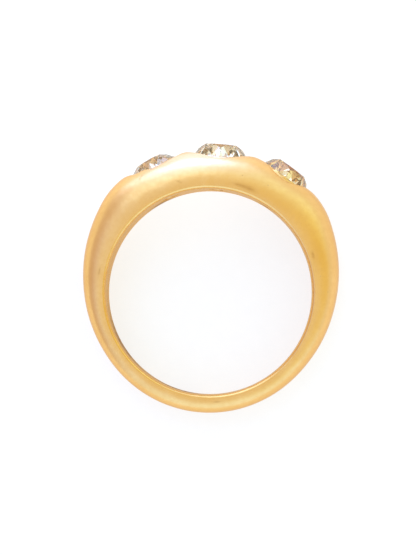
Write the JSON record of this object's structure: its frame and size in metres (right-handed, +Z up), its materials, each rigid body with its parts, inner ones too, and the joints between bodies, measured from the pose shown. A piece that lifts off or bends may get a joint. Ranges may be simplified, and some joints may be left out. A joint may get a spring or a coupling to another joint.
{
  "type": "three stone ring",
  "caption": "Gold finger ring with a wide domed head that tapers to a narrow shank, and round cut stones sunk flush in a row across the head.",
  "frame": {"origin": "where the finger axis meets the flat side face that the ring lies on", "axes": "+Z up from that face, +Y towards the middle stone, +X towards the right stone; the finger axis leans 4.8 degrees from +Z towards -Y, because the ring is wider at the head than at the back"},
  "size_m": [0.0216, 0.0227, 0.0067],
  "materials": {
    "gold": "soft satin polish, hand worn",
    "stone": "polished facets"
  },
  "bodies": {
    "root": {"band": "gold", "left_stone": "stone", "centre_stone": "stone", "right_stone": "stone"}
  },
  "joints": []
}
